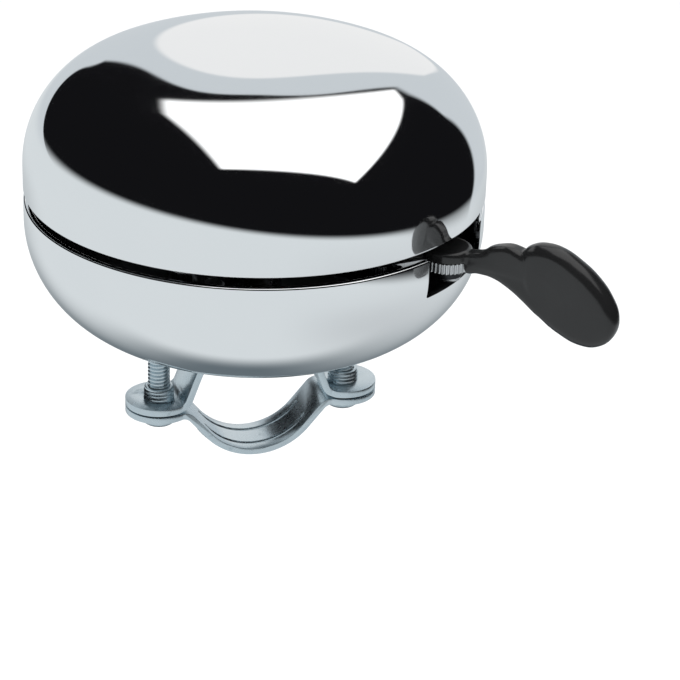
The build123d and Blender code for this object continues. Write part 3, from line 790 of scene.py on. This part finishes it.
finishes = {
    "chrome_plate": chrome,
    "zinc_plate": zinc,
    "bright_steel": bright_steel,
    "spring_steel": spring_steel,
    "dark_plate": dark_plate,
    "gear_steel": gear_steel,
    "brass": brass,
    "fibre": fibre,
    "black_plastic": black_moulding,
    "grey_plastic": grey_moulding,
}
for row in frame["record"]["subparts"]:
    finishes[row["material_slot"]].cover(nodes[row["node"]])


# Camera: a long lens, a little above the rim, with the lever to its right.
# It is aimed right of the bell and below it, so that the bell stands at the upper left.

view_turn = math.radians(-14.5)
view_lift = math.radians(22.3)
view_distance = 450.0
aim = Vector((0, 0, rim_plane)) * mm
turned = Matrix.Rotation(view_turn, 3, "Z")
toward_camera = turned @ Vector((0, -math.cos(view_lift), math.sin(view_lift)))
camera_data = bpy.data.cameras.new("product_camera")
camera_data.sensor_width = 36
camera_data.lens = 136.9
camera_data.clip_start = 0.01
camera = bpy.data.objects.new("product_camera", camera_data)
bpy.context.scene.collection.objects.link(camera)
camera.location = aim + toward_camera * view_distance * mm
straight = (-toward_camera).to_track_quat("-Z", "Y").to_matrix()
roll = Matrix.Rotation(0.019, 3, "Z")
pan = Matrix.Rotation(math.radians(-1.88), 3, "Y")
tilt = Matrix.Rotation(math.radians(-3.345), 3, "X")
camera.rotation_mode = "QUATERNION"
camera.rotation_quaternion = (straight @ roll @ pan @ tilt).to_quaternion()
bpy.context.scene.camera = camera
bpy.context.scene.view_settings.view_transform = "Standard"


# Studio: pale paper far below, a white surround, and soft lamps for the dull surfaces.
# Polished metal sees a dark room instead, with a ceiling softbox, a backdrop and a table.

bpy.ops.object.select_all(action="DESELECT")
bpy.ops.mesh.primitive_plane_add(size=30, location=(0, 0, -0.33))
floor = bpy.context.object
floor.name = "pale_floor"
paper = Surface("floor_paper", 0.0)
paper_cloud = paper.place.noise(40, 3.0)
paper.feed(base_color=paper_cloud.blend((0.93, 0.93, 0.93, 1), (0.95, 0.95, 0.95, 1)))
paper.shader.inputs["Roughness"].default_value = 0.9
paper.cover(floor)
floor.visible_glossy = False

surround = bpy.data.worlds.new("white_surround")
bpy.context.scene.world = surround
surround.use_nodes = True
surround.node_tree.nodes["Background"].inputs["Color"].default_value = (1, 1, 1, 1)
surround.node_tree.nodes["Background"].inputs["Strength"].default_value = 1.0

for name, place, size, power in (
    ("ceiling_lamp", (0.15, 0.1, 0.9), 0.8, 5.0),
    ("side_lamp", (-0.8, -0.5, 0.35), 0.5, 2.0),
):
    light = bpy.data.lights.new(name, "AREA")
    light.size = size
    light.energy = power
    lamp = bpy.data.objects.new(name, light)
    bpy.context.scene.collection.objects.link(lamp)
    outward = turned @ Vector(place)
    lamp.location = aim + outward
    lamp.rotation_mode = "QUATERNION"
    lamp.rotation_quaternion = outward.to_track_quat("Z", "Y")
    lamp.visible_camera = False
    lamp.visible_glossy = False

bpy.ops.mesh.primitive_uv_sphere_add(segments=64, ring_count=32, radius=2.0, location=(0, 0, 0))
room = bpy.context.object
room.name = "reflected_room"
room.location = aim
room.rotation_euler = (0, 0, view_turn)
bpy.ops.object.shade_smooth()
room_light = Surface("room_light", 0.0)
way = room_light.place.add("ShaderNodeVectorMath", {"operation": "NORMALIZE"}, {0: room_light.place})
right = way.add("ShaderNodeSeparateXYZ", {}, {0: way}, 0)
away = way.add("ShaderNodeSeparateXYZ", {}, {0: way}, 1)
up = way.add("ShaderNodeSeparateXYZ", {}, {0: way}, 2)

# A ceiling softbox, with x across and y away at unit height.
x = right / up.above(0.05)
y = away / up.above(0.05)
box_left = (x + y * 0.08 + 0.32).step(-0.03, 0.03)
box_right = (1.02 - x - y * 0.26).step(-0.03, 0.03)
box_front = (y + x * 0.06 + x * x * 0.11 + 0.58).step(-0.03, 0.03)
box_back = ((x + 0.05) * (x + 0.05) * 1.55 + 0.61 - y).step(-0.03, 0.03)
softbox = box_left * box_right * box_front * box_back * up.step(0.3, 0.35)

# A white backdrop behind, with x across and z up at unit distance.
x = right / away.above(0.05)
z = up / away.above(0.05)
top = (z - 0.7).above(0.0) / 0.79
side = (x + z * 0.07 - 0.10).sum("ABSOLUTE", x + z * 0.07 - 0.10) / 0.42
oval = side.sum("POWER", side, 2.5) + top.sum("POWER", top, 2.5)
panel = 1 - oval.step(0.86, 0.98)
low_left = (x + 0.26 + 0.027 / z.above(0.01)).step(-0.02, 0.02) * (1 - x.step(0.0, 0.2))
low_left = low_left * (1 - z.step(0.29, 0.33))
over = (x - 0.5).above(0.0)
low_right = (0.68 - over * over * 0.8 - z).step(-0.05, 0.05) * (1.04 - x - z * 0.12).step(-0.07, 0.07)
low_right = low_right * x.step(0.0, 0.2)
backdrop = panel.sum("MAXIMUM", panel, low_left)
backdrop = backdrop.sum("MAXIMUM", backdrop, low_right) * away.step(0.05, 0.1)
tall = (z - 0.5) / 0.62
wide = (x + z * 0.12 - 0.12) / 0.31
glow = (1 - (tall * tall + wide * wide).step(0.9, 1.04)) * away.step(0.2, 0.3)

# A pale table all round and below, its edge lower toward the left, with painted shade on its right and a
# painted shadow of the bell darkening it straight below.
edge = up + right * 0.247 + away * 0.11 + 0.13
table = 1 - edge.step(-0.06, 0.06)
upright = (away * away + up * up).above(0.02)
upright = upright.sum("SQRT", upright)
# Painted shadow of the bell on the table below it, fading out to both sides.
under = ((away * 0.56 - up * 0.83) / upright).step(0.76, 0.98) * (1 - right.step(0.0, 0.75))
under = under * right.step(-0.75, -0.1)
shady = (0 - up).step(0.25, 0.9) * right.step(0.1, 0.8)

seen = backdrop.blend((0.006, 0.006, 0.007, 1), (0.60, 0.64, 0.67, 1))
seen = glow.blend(seen, (0.88, 0.88, 0.88, 1))
seen = table.blend(seen, (0.70, 0.74, 0.76, 1))
seen = (shady * table * 0.6).blend(seen, (0.45, 0.47, 0.49, 1))
seen = under.blend(seen, (0.13, 0.16, 0.18, 1))
seen = softbox.blend(seen, (1.3, 1.3, 1.3, 1))
glowing = seen.add("ShaderNodeEmission", {}, {"Color": seen})
output = room_light.material.node_tree.nodes["Material Output"]
room_light.material.node_tree.links.new(glowing.output, output.inputs["Surface"])
room_light.cover(room)
room.visible_camera = False
room.visible_diffuse = False
room.visible_shadow = False
room.visible_transmission = False
